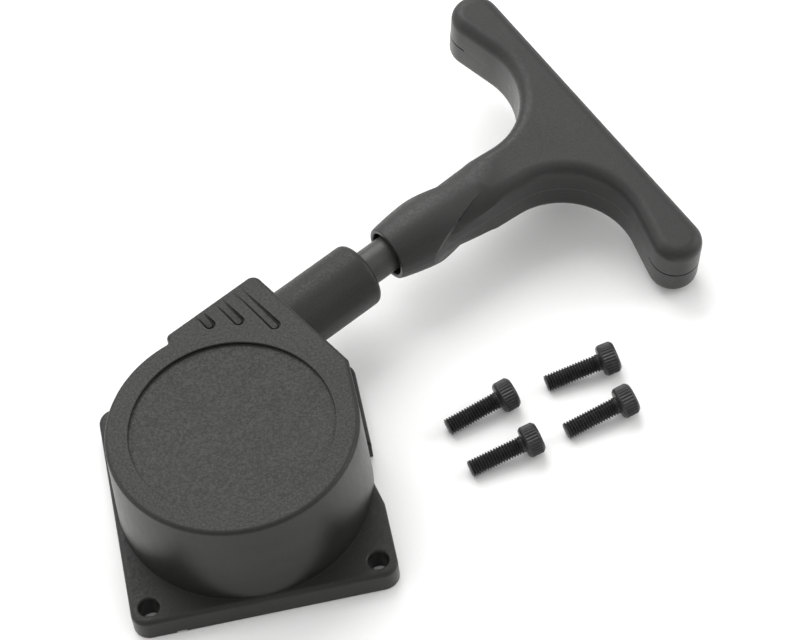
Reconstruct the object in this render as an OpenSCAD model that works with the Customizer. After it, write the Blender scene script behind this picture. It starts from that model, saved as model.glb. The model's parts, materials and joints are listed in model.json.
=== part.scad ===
// Recoil starter for a small model engine: a flanged drum case with a rope
// outlet, a spring-returned reel on a roller clutch, and a two-shell T-handle.
// The origin is the centre of the flange's back face. +Z runs along the drum's
// axis to its closed end, +X along the flange's front edge.

/* [Flange] */
// Side of the square flange
flange_w = 44.4; // [43:0.1:48]
// Thickness of the flange
flange_t = 4.4; // [4:0.1:6]
// Corner radius of the flange
flange_corner_r = 2.8; // [1:0.1:4]
// Rounding of the flange's front edges
flange_edge_r = 0.8; // [0.4:0.1:1.2]
// Distance between neighbouring mounting holes
hole_spacing = 38; // [37:0.1:39]
// Diameter of the mounting holes, clearing M3
hole_d = 3.4; // [3.2:0.05:3.6]

/* [Drum] */
// Outer radius of the drum
drum_r = 20.9; // [20.6:0.1:21.2]
// Height of the closed end above the flange's back face
case_h = 22.7; // [22:0.1:25]
// Radius of the cavity
cavity_r = 18.8; // [18.6:0.1:19]
// Thickness of the closed end
top_wall = 2; // [1.6:0.1:2.4]
// Rounding of the drum's outer edge
drum_edge_r = 0.8; // [0.4:0.1:1.2]
// Radius of the shallow recess in the closed end
recess_r = 17; // [14:0.1:18]
// Depth of the shallow recess
recess_depth = 0.65; // [0.2:0.05:0.8]
// Radius of the back opening that takes the retaining plate
plate_pocket_r = 20; // [19.6:0.1:20.2]
// Depth of the step that the retaining plate seats on
plate_seat_z = 2.8; // [2.4:0.1:3.2]

/* [Rope outlet] */
// Direction of the rope from +X
rope_angle = 29.6; // [20:0.1:35]
// Distance of the rope's line from the drum's axis
rope_offset = 16.3; // [16:0.1:16.5]
// Height of the rope's line
rope_h = 12.5; // [12:0.1:13]
// Distance of the outlet block's end face along the rope
outlet_end = 22.5; // [22:0.1:24]
// Distance of the outlet block's long side from the drum's axis
outlet_side = 22.2; // [22:0.1:23]
// Radius of the tube that the rope leaves through
tube_r = 5.75; // [5:0.05:6]
// Distance of the tube's end along the rope
tube_end = 40; // [36:0.5:44]
// Rounding of the tube's end
tube_edge_r = 1.2; // [0.5:0.1:2]
// Width of the ramped slots in the outlet block's top
slot_w = 2.1; // [1.5:0.1:2.5]
// Depth of the ramped slots at their round ends
slot_depth = 0.8; // [0.4:0.1:1.2]

/* [Rope guide] */
// Outer radius of the guide sleeve
guide_r = 3.2; // [2.8:0.1:3.4]
// Bore radius of the guide sleeve
guide_bore_r = 1.6; // [1.4:0.1:1.8]
// Length of the sleeve inside the tube
guide_seat = 12; // [8:0.5:16]
// Gap between the tube's end and the handle's mouth
guide_show = 5.6; // [3:0.1:8]

/* [Reel] */
// Outer radius of the reel's rims
reel_r = 18.2; // [17.6:0.1:18.4]
// Radius of the rope groove's floor
groove_r = 10.6; // [10.2:0.1:10.7]
// Width of the rope groove
groove_w = 5.6; // [5.2:0.1:5.8]
// Thickness of each rim
rim_t = 1.2; // [1:0.1:1.3]
// Outer radius of the hub on the engine's side
hub_r = 8; // [7:0.1:8.4]
// Radius of the post that the reel turns on
post_r = 4; // [3.5:0.1:4.2]
// Running clearance between the post and the reel
post_gap = 0.06; // [0.03:0.01:0.1]

/* [Roller clutch] */
// Bore radius of the roller cage, for a 6 mm shaft
clutch_bore_r = 3.05; // [3.03:0.01:3.08]
// Outer radius of the drawn cup
clutch_r = 5; // [4.9:0.05:5.1]
// Length of the clutch
clutch_l = 12; // [11.5:0.1:12]
// Number of rollers
roller_count = 6; // [4:1:6]
// Radius of a roller
roller_r = 0.75; // [0.7:0.01:0.76]

/* [Recoil spring] */
// Turns of the spring at rest
spring_turns = 9; // [6:1:10]
// Thickness of the spring strip
spring_t = 0.4; // [0.3:0.05:0.5]
// Width of the spring strip
spring_w = 3.6; // [3:0.1:3.6]
// Distance of the spring's anchor pin from the drum's axis
anchor_dist = 17.3; // [17:0.1:17.4]
// Radius of the spring's anchor pin
anchor_r = 0.7; // [0.6:0.05:0.7]

/* [Rope] */
// Diameter of the rope
rope_d = 2.2; // [1.8:0.1:2.2]
// Distance between the layers of rope
layer_step = 2.25; // [2.25:0.01:2.3]
// Distance between turns that lie side by side
turn_step = 2.4; // [2.3:0.05:2.5]

/* [Handle] */
// Distance from the handle's mouth to the grip's centre line
grip_dist = 40.6; // [39:0.2:44]
// Half the distance between the centres of the grip's round ends
grip_reach = 28.6; // [26:0.2:32]
// Radius of the grip's round ends
grip_end_r = 4.4; // [4:0.1:5]
// Thickness of the handle
handle_t = 12.2; // [11:0.1:13]
// Rounding of the handle's edges
handle_edge_r = 2.2; // [1.5:0.1:2.6]
// Radius of the two finger curves
finger_r = 12.7; // [11:0.1:13]
// Half the width of the neck
neck_half = 4.7; // [4.6:0.1:5.4]
// Radius of the round barrel at its widest
barrel_r = 6.2; // [6:0.1:6.6]
// Radius of the barrel at its mouth
mouth_r = 4.85; // [4.8:0.05:5.4]
// Radius of the socket that sits over the rope guide
socket_r = 4; // [3.6:0.1:4]
// Depth of the socket
socket_depth = 4; // [3:0.1:6]
// Turn of the handle about its own length, which rests one end of the grip low
handle_roll = 9.2; // [-90:0.1:90]
// Sideways lean of the loose handle on the rope guide
handle_yaw = -4.1; // [-4.5:0.1:4.5]
// Downward lean of the loose handle on the rope guide
handle_droop = 1.3; // [0:0.1:2]

/* [Fasteners] */
// Length of a mounting screw under its head
cap_screw_l = 10; // [8:1:12]
// Number of screws that hold the retaining plate
plate_screw_count = 3; // [3:1:4]

/* [Hidden] */
$fn = 64;
slack = 0.02;
cut = 0.1;

cap_head_d = 5.5;
cap_head_h = 3;
cap_d = 3;
cap_hex_w = 2.5;
cap_hex_depth = 1.4;
cap_chamfer = 0.3;

rope_r = rope_d / 2;
ceiling_z = case_h - top_wall;
outlet_z = flange_t - 0.5;
outlet_corner_r = 1.6;
outlet_end_r = 1;
outlet_back = 3.3;
outlet_inset = 0.1;
edge_steps = [for (a = [0:30:90]) [1 - cos(a), 1 - sin(a)]];
outlet_core_h = 4.2;
outlet_core_wall = 2;
rope_way_r = guide_bore_r + 0.1;
rope_way_start = 5;
slots = [[18.1, 10.3], [14.3, 15.2], [10.3, 18]];
slot_fade = 0.6;
notch_low = -8.1;
notch_floor = -2.4;
notch_high = 4.4;
notch_depth = flange_w / 2 - drum_r - 0.1;
pry_x = -14.5;
pry_w = 1.7;
pry_h = 0.5;

lug_dist = 17.4;
lug_r = 2.6;
lug_h = 5;
plate_r = plate_pocket_r - 0.1;
plate_t = 1.2;
plate_bore_r = 5.6;
plate_screw_d = 2;
plate_screw_l = 5.2;
plate_head_d = 3.8;
plate_head_h = 1.2;
plate_drive_w = 0.5;
plate_drive_l = 2.2;
plate_drive_depth = 0.6;
washer_r = 9.4;
washer_bore_r = 6.6;
washer_t = 0.4;

clutch_z = plate_seat_z + washer_t + 0.1;
shoulder_z = clutch_z + clutch_l + slack;
groove_z = rope_h - groove_w / 2;
rim_low_z = groove_z - rim_t;
rim_high_z = groove_z + groove_w;
reel_top_z = rim_high_z + rim_t;
hub_top_z = ceiling_z - 0.3;
hub_top_r = 5.8;
post_end_z = shoulder_z + 0.15;
hub_slot_w = 0.7;
hub_slot_r = 4.7;
disc_r = 18.4;
disc_bore_r = 6.1;
disc_t = 0.25;
disc_z = reel_top_z + 0.05;
spring_z = disc_z + disc_t + 0.1;

cup_bore_r = 4.55;
cup_lip_t = 0.6;
cup_lip_r = 3.3;
ramp_dist = 3.9;
ramp_turn = 5;
cage_r = 4.45;
cage_gap = 0.05;
cage_ring = 1.3;
roller_dist = 3.02 + roller_r;
roller_gap = 0.05;
leaf_t = 0.15;
leaf_r = [3.4, 4.2];
leaf_offset = 1;
leaf_end_gap = 1;
leaf_pocket_r = 3.3;
leaf_pocket = 1.2;

spring_start_r = 6.6;
spring_end_r = anchor_dist - anchor_r - slack - spring_t / 2;
spring_steps = 32;
loop_in_r = anchor_r + slack;
loop_angle = 250;

outer_turn_r = rope_offset;
middle_turn_r = outer_turn_r - layer_step;
inner_turn_r = middle_turn_r - layer_step;
turn_low_z = rope_h - turn_step / 2;
turn_high_z = rope_h + turn_step / 2;
drop_r = 2.2;
rope_hole_r = 1.45;
reel_knot_z = 6.1;
reel_knot_r = 1.9;

mouth = tube_end + guide_show;
guide_end = mouth + socket_depth - 0.5;
mouth_lip_r = 0.3;
barrel_wide = 10.5;
barrel_end = 20;
barrel_end_r = 5.9;
finger_x = 25.8;
neck_start = 5;
neck_cone = [[5, 4.7], [12, 5.2], [19.4, 6.1], [27, 8.3]];
facet_start = 5;
facet_tip = 19.4;
facet_tip_half = 1.5;
core_wall = 2;
core_depth = 3.4;
core_start = 24;
seam_gap = 0.35;
seam_depth = 0.9;
seam_from = 26.5;
knot_seat = 13;
knot_room_r = 3.3;
knot_room_end = 20.4;
knot_washer_r = 3.2;
knot_washer_t = 0.8;
knot_r = 2.4;
knot_tail = 3.4;
shell_screws = [[35.4, 0], [grip_dist, 25], [grip_dist, -25]];
shell_boss_r = 2.6;
shell_screw_d = 2.2;
shell_screw_l = 7.6;
shell_head_d = 4;
shell_head_h = 1.5;
shell_seat = 3.5;

cap_screws = [[35.4, 6.2, 16], [37.4, -3.1, 12], [53.5, 11, 8], [54.6, 0.5, 14]];

black = [0.16, 0.16, 0.155];
steel = [0.62, 0.62, 0.63];
spring_steel = [0.4, 0.42, 0.45];
black_oxide = [0.1, 0.1, 0.1];
nylon = [0.85, 0.84, 0.8];
cord_colour = [0.2, 0.2, 0.2];

function names(stem, count) = [for (i = [1:count]) str(stem, "_", i)];
function arc(cx, cy, r, from, to, steps = 6) =
    [for (i = [0:steps]) let (a = from + (to - from) * i / steps) [cx + r * cos(a), cy + r * sin(a)]];

// Frames: the flat rope frame has X along the rope and Y away from the drum's
// axis, and the rope's own frame has Z along the rope, starting level with the
// drum's axis.
module rope_frame() rotate([0, 0, rope_angle]) children();
module on_rope(along = 0) rope_frame() translate([along, rope_offset, rope_h]) rotate([0, 90, 0]) children();
module in_handle() rope_frame() translate([mouth, rope_offset, rope_h])
    rotate([handle_roll, handle_droop, handle_yaw]) children();
module around(count) for (i = [0:count - 1]) rotate([0, 0, 360 * i / count]) children();
module ring(outer, inner, h) difference() {
    cylinder(r = outer, h = h);
    translate([0, 0, -cut]) cylinder(r = inner, h = h + 2 * cut);
}

// Case: flange, drum, outlet block and tube, all one moulding.
module flange_outline(inset = 0) hull() for (x = [-1, 1], y = [-1, 1])
    translate([x, y] * (flange_w / 2 - flange_corner_r)) circle(r = flange_corner_r - inset, $fn = 32);

module flange() difference() {
    hull() for (edge = edge_steps)
        linear_extrude(flange_t - flange_edge_r * edge[1]) flange_outline(flange_edge_r * edge[0]);
    for (x = [-1, 1], y = [-1, 1])
        translate([x * hole_spacing / 2, y * hole_spacing / 2, -cut]) cylinder(d = hole_d, h = flange_t + 2 * cut);
    translate([flange_w / 2, 0, -cut]) linear_extrude(flange_t + 2 * cut)
        polygon([[0, notch_low], [-notch_depth, notch_floor], [-notch_depth, notch_high], [1, notch_high],
            [1, notch_low]]);
    translate([pry_x - pry_w / 2, -flange_w / 2 - cut, -cut]) cube([pry_w, 0.6 + cut, pry_h + cut]);
}

module drum() rotate_extrude($fn = 128) polygon(concat(
    [[0, 0], [drum_r - 0.5, 0], [drum_r + 0.2, flange_t]],
    arc(drum_r - drum_edge_r, case_h - drum_edge_r, drum_edge_r, 0, 90),
    [[0, case_h]]
));

module outlet_outline() {
    far_y = (outlet_end - outlet_end_r - (drum_r - outlet_end_r) * cos(rope_angle)) / sin(rope_angle);
    hull() {
        rotate(rope_angle) {
            translate([outlet_back + outlet_end_r, outlet_side - outlet_end_r]) circle(r = outlet_end_r, $fn = 32);
            translate([outlet_end - outlet_corner_r, outlet_side - outlet_corner_r])
                circle(r = outlet_corner_r, $fn = 32);
        }
        translate([drum_r - outlet_end_r, far_y]) circle(r = outlet_end_r, $fn = 32);
        translate([drum_r - outlet_end_r - outlet_inset, -outlet_end_r]) circle(r = outlet_end_r, $fn = 32);
    }
}

module outlet_block() translate([0, 0, outlet_z]) difference() {
    linear_extrude(case_h - outlet_z) outlet_outline();
    translate([0, 0, -cut]) linear_extrude(outlet_core_h + cut) intersection() {
        rotate(rope_angle) translate([outlet_back + outlet_core_wall, 0])
            square([outlet_end - outlet_back - 2 * outlet_core_wall, outlet_side - outlet_core_wall]);
        translate([-flange_w, flange_w / 2 + outlet_core_wall / 2]) square(2 * flange_w);
    }
}

module rope_tube() on_rope(outlet_end - 2) rotate_extrude(convexity = 4) polygon(concat(
    [[0, 0], [tube_r, 0]],
    arc(tube_r - tube_edge_r, tube_end - outlet_end + 2 - tube_edge_r, tube_edge_r, 0, 90),
    [[0, tube_end - outlet_end + 2]]
));

module ramped_slot(along, inner) {
    reach = outlet_side - slot_fade - inner;
    rope_frame() translate([along, inner, case_h - slot_depth]) rotate([atan(slot_depth / reach), 0, 0]) {
        translate([0, slot_w / 2, 0]) cylinder(d = slot_w, h = 2 * slot_depth);
        translate([-slot_w / 2, slot_w / 2, 0]) cube([slot_w, 2 * reach, 2 * slot_depth]);
    }
}

module plate_lugs() intersection() {
    around(plate_screw_count) translate([lug_dist, 0, plate_seat_z]) cylinder(r = lug_r, h = lug_h);
    cylinder(r = cavity_r + cut, h = case_h);
}

module case() color(black) difference() {
    union() {
        difference() {
            union() {
                flange();
                drum();
                outlet_block();
                rope_tube();
            }
            translate([0, 0, -cut]) cylinder(r = cavity_r, h = ceiling_z + cut, $fn = 128);
        }
        plate_lugs();
        translate([0, 0, post_end_z]) cylinder(r = post_r, h = ceiling_z - post_end_z + cut);
        rope_frame() translate([0, -anchor_dist, spring_z]) cylinder(r = anchor_r, h = ceiling_z - spring_z + cut);
    }
    translate([0, 0, -cut]) cylinder(r = plate_pocket_r, h = plate_seat_z + cut, $fn = 128);
    translate([0, 0, case_h - recess_depth]) cylinder(r = recess_r, h = recess_depth + cut, $fn = 128);
    around(plate_screw_count) translate([lug_dist, 0, plate_seat_z - cut])
        cylinder(d = plate_screw_d + 2 * slack, h = lug_h - 0.4 + cut);
    for (slot = slots) ramped_slot(slot[0], slot[1]);
    on_rope(rope_way_start) cylinder(r = rope_way_r, h = tube_end);
    on_rope(tube_end - guide_seat - slack) cylinder(r = guide_r + slack / 2, h = guide_seat + 1);
}

module rope_guide() color(black) on_rope(tube_end - guide_seat)
    ring(guide_r, guide_bore_r, guide_end - tube_end + guide_seat);

module retaining_plate() color(steel) translate([0, 0, plate_seat_z - plate_t]) difference() {
    ring(plate_r, plate_bore_r, plate_t);
    around(plate_screw_count) translate([lug_dist, 0, -cut])
        cylinder(d = plate_screw_d + 0.2, h = plate_t + 2 * cut);
}

module thrust_washer() color(nylon) translate([0, 0, plate_seat_z + slack]) ring(washer_r, washer_bore_r, washer_t);

module plate_screw(i) color(steel) rotate([0, 0, 360 * (i - 1) / plate_screw_count])
    translate([lug_dist, 0, plate_seat_z - plate_t]) difference() {
        union() {
            cylinder(d = plate_screw_d, h = plate_screw_l);
            translate([0, 0, -plate_head_h]) cylinder(d = plate_head_d, h = plate_head_h);
        }
        translate([0, 0, -plate_head_h]) for (turn = [0, 90]) rotate([0, 0, turn])
            cube([plate_drive_l, plate_drive_w, 2 * plate_drive_depth], center = true);
    }

// Recoil spring: a flat strip wound from the reel's hub out to the case's pin.
function spring_r(turn) = spring_start_r + (spring_end_r - spring_start_r) * turn / spring_turns;
function spiral(side) = [for (i = [0:spring_turns * spring_steps]) let (
    turn = i / spring_steps,
    a = 360 * turn,
    r = spring_r(turn) + side * spring_t / 2
) [r * cos(a), r * sin(a)]];
function reversed(list) = [for (i = [len(list) - 1:-1:0]) list[i]];

module recoil_spring() color(spring_steel) rope_frame() translate([0, 0, spring_z]) linear_extrude(spring_w)
    rotate(-90) polygon(concat(
        [[hub_slot_r, 0], [hub_slot_r, -spring_t], [spring_start_r + spring_t / 2, -spring_t]],
        spiral(1),
        arc(anchor_dist, 0, loop_in_r, 170, 180 - loop_angle, 16),
        arc(anchor_dist, 0, loop_in_r + spring_t, 180 - loop_angle, 170, 16),
        reversed(spiral(-1))
    ));

module spring_disc() color(steel) translate([0, 0, disc_z]) ring(disc_r, disc_bore_r, disc_t);

// Reel, with the roller clutch pressed into its hub.
module reel() color(nylon) difference() {
    union() {
        translate([0, 0, clutch_z]) cylinder(r = hub_r, h = rim_low_z - clutch_z + cut);
        translate([0, 0, rim_low_z]) cylinder(r = reel_r, h = rim_t, $fn = 128);
        translate([0, 0, rim_low_z]) cylinder(r = groove_r, h = groove_w + 2 * rim_t);
        translate([0, 0, rim_high_z]) cylinder(r = reel_r, h = rim_t, $fn = 128);
        translate([0, 0, rim_high_z]) cylinder(r = hub_top_r, h = hub_top_z - rim_high_z);
    }
    translate([0, 0, clutch_z - cut]) cylinder(r = clutch_r + slack / 2, h = shoulder_z - clutch_z + cut);
    cylinder(r = post_r + post_gap, h = case_h);
    rope_frame() {
        translate([-drop_r, inner_turn_r, rim_low_z - cut]) cylinder(r = rope_hole_r, h = rim_t + 2 * cut);
        translate([-(hub_slot_w + spring_t) / 2, -hub_top_r - cut, spring_z - cut])
            cube([hub_slot_w, hub_top_r + cut - hub_slot_r + 0.15, case_h]);
    }
}

module clutch_cup() color(steel) translate([0, 0, clutch_z]) difference() {
    cylinder(r = clutch_r, h = clutch_l);
    translate([0, 0, cup_lip_t]) cylinder(r = cup_bore_r, h = clutch_l - 2 * cup_lip_t);
    around(roller_count) rotate([0, 0, ramp_turn]) translate([ramp_dist, 0, cup_lip_t + cage_ring / 2])
        cylinder(r = roller_r + roller_gap, h = clutch_l - 2 * cup_lip_t - cage_ring);
    translate([0, 0, -cut]) cylinder(r = cup_lip_r, h = clutch_l + 2 * cut);
}

module clutch_cage() {
    z = clutch_z + cup_lip_t + cage_gap;
    h = clutch_l - 2 * (cup_lip_t + cage_gap);
    color(black) translate([0, 0, z]) difference() {
        ring(cage_r, clutch_bore_r, h);
        around(roller_count) translate([0, 0, cage_ring]) {
            translate([roller_dist, 0, 0]) cylinder(r = roller_r + roller_gap, h = h - 2 * cage_ring);
            translate([leaf_pocket_r, -leaf_pocket, 0])
                cube([cage_r - leaf_pocket_r + cut, leaf_pocket, h - 2 * cage_ring]);
        }
    }
}

module clutch_roller(i) {
    z = cup_lip_t + cage_gap + cage_ring + roller_gap;
    color(steel) rotate([0, 0, 360 * (i - 1) / roller_count]) translate([roller_dist, 0, clutch_z + z])
        cylinder(r = roller_r, h = clutch_l - 2 * z, $fn = 32);
}

module clutch_spring(i) {
    z = cup_lip_t + cage_gap + cage_ring + leaf_end_gap;
    color(spring_steel) rotate([0, 0, 360 * (i - 1) / roller_count])
        translate([leaf_r[0], -leaf_offset - leaf_t / 2, clutch_z + z])
            cube([leaf_r[1] - leaf_r[0], leaf_t, clutch_l - 2 * z]);
}

// Rope: half turns that meet end to end, each with its own change of radius
// and of height, then a bend down through the lower rim to a knot.
module half_turn(from_r, to_r, from_z, to_z, second = false) {
    mean_r = (from_r + to_r) / 2;
    way = second ? -1 : 1;
    translate([0, way * (from_r - to_r) / 2, (from_z + to_z) / 2])
        rotate([way * asin((from_z - to_z) / 2 / mean_r), 0, second ? 180 : 0])
            rotate([0, 0, 90]) rotate_extrude(angle = 180) translate([mean_r, 0]) circle(r = rope_r, $fn = 24);
}

module rope_winding() color(cord_colour) rope_frame() {
    half_turn(outer_turn_r, outer_turn_r, rope_h, rope_h);
    half_turn(outer_turn_r, middle_turn_r, rope_h, turn_low_z, second = true);
    half_turn(middle_turn_r, middle_turn_r, turn_low_z, turn_high_z);
    half_turn(middle_turn_r, inner_turn_r, turn_high_z, turn_high_z, second = true);
    half_turn(inner_turn_r, inner_turn_r, turn_high_z, turn_low_z);
    half_turn(inner_turn_r, inner_turn_r, turn_low_z, turn_low_z, second = true);
    translate([0, inner_turn_r, turn_low_z - drop_r]) rotate([90, 0, 0]) rotate([0, 0, 90])
        rotate_extrude(angle = 90) translate([drop_r, 0]) circle(r = rope_r, $fn = 24);
    translate([-drop_r, inner_turn_r, reel_knot_z]) {
        cylinder(r = rope_r, h = turn_low_z - drop_r - reel_knot_z, $fn = 24);
        sphere(r = reel_knot_r, $fn = 32);
    }
}

module rope_lead() color(cord_colour) {
    on_rope(slack) cylinder(r = rope_r, h = mouth, $fn = 24);
    in_handle() rotate([0, 90, 0]) {
        sphere(r = rope_r + 0.1, $fn = 24);
        cylinder(r = rope_r, h = knot_seat + knot_washer_t + knot_r + knot_tail, $fn = 24);
        translate([0, 0, knot_seat + knot_washer_t + knot_r]) sphere(r = knot_r, $fn = 32);
    }
}

module knot_washer() color(steel) in_handle() translate([knot_seat + slack, 0, 0]) rotate([0, 90, 0])
    ring(knot_washer_r, rope_r + 0.15, knot_washer_t - 2 * slack);

// Handle: a barrel that runs into a flat neck and a T-grip, split into shells.
function barrel_radius(x) = x < barrel_wide
    ? mouth_r + (barrel_r - mouth_r) * sin(90 * x / barrel_wide)
    : barrel_end_r + (barrel_r - barrel_end_r) * cos(90 * (x - barrel_wide) / (barrel_end - barrel_wide));

module barrel() difference() {
    rotate([0, 90, 0]) rotate_extrude() polygon(concat(
        [[0, 0]],
        arc(mouth_r - mouth_lip_r, mouth_lip_r, mouth_lip_r, -90, 0, 4),
        [for (x = [1.5:1.5:barrel_end - 0.5]) [barrel_radius(x), x]],
        [[barrel_end_r, barrel_end], [0, barrel_end]]
    ));
    for (side = [0, 1]) mirror([0, side, 0]) linear_extrude(2 * handle_t, center = true)
        polygon([[facet_start, barrel_r], [facet_tip, facet_tip_half], [barrel_end + 1, facet_tip_half],
            [barrel_end + 1, barrel_r + 1], [facet_start, barrel_r + 1]]);
}

module handle_outline() difference() {
    union() {
        hull() for (side = [-1, 1]) translate([grip_dist, side * grip_reach]) circle(r = grip_end_r, $fn = 40);
        translate([neck_start, -neck_half]) square([grip_dist - neck_start, 2 * neck_half]);
        translate([finger_x, -finger_r - neck_half]) square([grip_dist - finger_x, 2 * (finger_r + neck_half)]);
    }
    for (side = [-1, 1]) translate([finger_x, side * (finger_r + neck_half)]) circle(r = finger_r, $fn = 96);
}

module handle_blank() {
    intersection() {
        minkowski() {
            linear_extrude(handle_t - 2 * handle_edge_r, center = true)
                offset(delta = -handle_edge_r) handle_outline();
            sphere(r = handle_edge_r, $fn = 20);
        }
        rotate([0, 90, 0]) rotate_extrude() polygon([
            [0, neck_cone[0][0]],
            for (p = neck_cone) [p[1], p[0]],
            [2 * grip_reach, neck_cone[3][0]],
            [2 * grip_reach, 2 * grip_dist],
            [0, 2 * grip_dist]
        ]);
    }
    barrel();
}

module shell_core() linear_extrude(2 * core_depth, center = true) difference() {
    intersection() {
        offset(delta = -core_wall) handle_outline();
        translate([core_start, -2 * grip_reach]) square(4 * grip_reach);
    }
    for (p = shell_screws) translate(p) circle(r = shell_boss_r);
}

module rope_bores() rotate([0, 90, 0]) {
    translate([0, 0, -cut]) cylinder(r = socket_r, h = socket_depth + cut);
    cylinder(r = rope_r + 0.3, h = knot_seat + cut);
    translate([0, 0, knot_seat]) cylinder(r = knot_room_r, h = knot_room_end - knot_seat);
}

module half_space() translate([-5, -2 * grip_reach, 0]) cube([80, 4 * grip_reach, 30]);

module handle_upper() color(black) in_handle() difference() {
    intersection() {
        handle_blank();
        half_space();
    }
    shell_core();
    rope_bores();
    for (p = shell_screws) translate([p[0], p[1], -cut])
        cylinder(d = shell_screw_d + 2 * slack, h = shell_screw_l - shell_seat + 0.3 + cut);
}

module seam() translate([0, 0, -seam_gap]) linear_extrude(seam_gap + cut) difference() {
    for (side = [0, 1]) mirror([0, side]) translate([0, seam_from]) square(3 * grip_end_r + grip_dist);
    offset(delta = -seam_depth) handle_outline();
}

module handle_lower() color(black) in_handle() difference() {
    intersection() {
        handle_blank();
        mirror([0, 0, 1]) half_space();
    }
    shell_core();
    rope_bores();
    seam();
    for (p = shell_screws) translate([p[0], p[1], -handle_t]) {
        cylinder(d = shell_screw_d + 0.2, h = handle_t + cut);
        cylinder(d = shell_head_d + 0.3, h = handle_t - shell_seat);
    }
}

module handle_screw(i) color(steel) in_handle()
    translate([shell_screws[i - 1][0], shell_screws[i - 1][1], -shell_seat]) difference() {
        union() {
            cylinder(d = shell_screw_d, h = shell_screw_l);
            translate([0, 0, -shell_head_h]) cylinder(d = shell_head_d, h = shell_head_h);
        }
        translate([0, 0, -shell_head_h]) for (turn = [0, 90]) rotate([0, 0, turn])
            cube([plate_drive_l, plate_drive_w, 2 * plate_drive_depth], center = true);
    }

// Mounting screw, lying on the ground beside the flange on its head and tip.
module cap_screw(i) {
    place = cap_screws[i - 1];
    tilt = atan((cap_head_d - cap_d) / 2 / cap_screw_l);
    color(black_oxide) translate([place[0], place[1], cap_d / 2 * cos(tilt)]) rotate([0, 90 - tilt, place[2]])
        difference() {
            union() {
                cylinder(d1 = cap_d - 2 * cap_chamfer, d2 = cap_d, h = cap_chamfer);
                translate([0, 0, cap_chamfer]) cylinder(d = cap_d, h = cap_screw_l - cap_chamfer);
                translate([0, 0, cap_screw_l]) cylinder(d = cap_head_d, h = cap_head_h - cap_chamfer);
                translate([0, 0, cap_screw_l + cap_head_h - cap_chamfer])
                    cylinder(d1 = cap_head_d, d2 = cap_head_d - 2 * cap_chamfer, h = cap_chamfer);
            }
            translate([0, 0, cap_screw_l + cap_head_h - cap_hex_depth])
                cylinder(r = cap_hex_w / sqrt(3), h = cap_hex_depth + cut, $fn = 6);
        }
}

case();
rope_guide();
retaining_plate();
thrust_washer();
spring_disc();
recoil_spring();
for (i = [1:plate_screw_count]) plate_screw(i);
for (i = [1:len(cap_screws)]) cap_screw(i);
reel();
clutch_cup();
clutch_cage();
for (i = [1:roller_count]) clutch_roller(i);
for (i = [1:roller_count]) clutch_spring(i);
rope_winding();
handle_upper();
handle_lower();
for (i = [1:len(shell_screws)]) handle_screw(i);
knot_washer();
rope_lead();
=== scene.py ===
"""Looks of the recoil starter: moulded case and handle, knurled cap screws, braided rope, studio and camera.

Shapes are built in millimetres in the frame of the CAD model and turned into metres by piece().
"""

import json
import math

import bmesh
import bpy
from mathutils import Matrix, Vector


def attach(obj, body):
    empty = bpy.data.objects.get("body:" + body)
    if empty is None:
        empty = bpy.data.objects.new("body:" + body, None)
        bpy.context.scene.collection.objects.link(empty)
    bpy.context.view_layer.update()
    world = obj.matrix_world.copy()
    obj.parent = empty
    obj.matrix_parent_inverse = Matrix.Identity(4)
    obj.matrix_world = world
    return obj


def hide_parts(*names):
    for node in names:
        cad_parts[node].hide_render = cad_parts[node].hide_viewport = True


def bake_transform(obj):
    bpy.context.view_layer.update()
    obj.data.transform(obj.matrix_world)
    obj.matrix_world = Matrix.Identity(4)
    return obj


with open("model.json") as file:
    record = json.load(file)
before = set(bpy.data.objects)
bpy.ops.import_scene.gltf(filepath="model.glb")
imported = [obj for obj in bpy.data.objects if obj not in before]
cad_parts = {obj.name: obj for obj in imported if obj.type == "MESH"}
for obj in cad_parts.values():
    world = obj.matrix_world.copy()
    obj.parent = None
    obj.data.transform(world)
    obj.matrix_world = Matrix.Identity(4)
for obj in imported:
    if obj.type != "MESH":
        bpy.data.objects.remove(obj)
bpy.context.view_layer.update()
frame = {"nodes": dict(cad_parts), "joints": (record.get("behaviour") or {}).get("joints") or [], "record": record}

MM = 0.001
Z_AXIS = Vector((0, 0, 1))
SMOOTH_ANGLE = math.radians(34)
SCREW_SMOOTH_ANGLE = math.radians(50)
EDGE_SEARCH = 0.6
MITRE_LIMIT = 0.3
OVERLAP = 0.5
FAR = 50

# Case sizes in millimetres. The flare, the step's corner and fillet, the tube's fillet and the slots' crown
# are finer than in the CAD model.
FLANGE_HALF = 22.2
FLANGE_T = 4.4
FLANGE_CORNER_R = 2.8
FLANGE_EDGE_R = 0.8
FLANGE_FOOT_R = 0.2
HOLE_R = 1.7
HOLE_CHAMFER = 0.25
HOLE_TOP = 6
NOTCH = [(22.2, -8.1), (21.0, -2.4), (21.0, 4.4), (22.2, 4.4)]
PRY_SLOT = [(-15.35, -23, -1), (-13.65, -21.6, 0.5)]
DRUM_R = 20.9
DRUM_FLARE = 0.6
CASE_H = 22.7
CAVITY_R = 18.8
CEILING_Z = 20.7
EDGE_R = 0.8
RIM = 0.12
RECESS_R = 17.0
RECESS_DEPTH = 0.65
RECESS_CHAMFER = 0.12
POCKET_R = 20.0
POCKET_Z = 2.8
LUG_DIST = 17.4
LUG_R = 2.6
LUG_H = 5.0
LUG_COUNT = 3
LUG_PILOT_R = 1.02
LUG_TOP_T = 0.4
POST_R = 4.0
POST_Z = 15.47
ANCHOR_DIST = 17.3
ANCHOR_R = 0.7
ANCHOR_Z = 16.9
OUTLET_BACK = 3.3
OUTLET_END = 22.5
OUTLET_SIDE = 22.2
OUTLET_Z = 3.9
OUTLET_CORNER_R = 1.6
OUTLET_END_R = 1.0
OUTLET_WALL = 2
CORE_H = 4.2
STEP_CORNER_R = 0.95
STEP_TURN = 72.0
STEP_FILLET = 0.7
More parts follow.
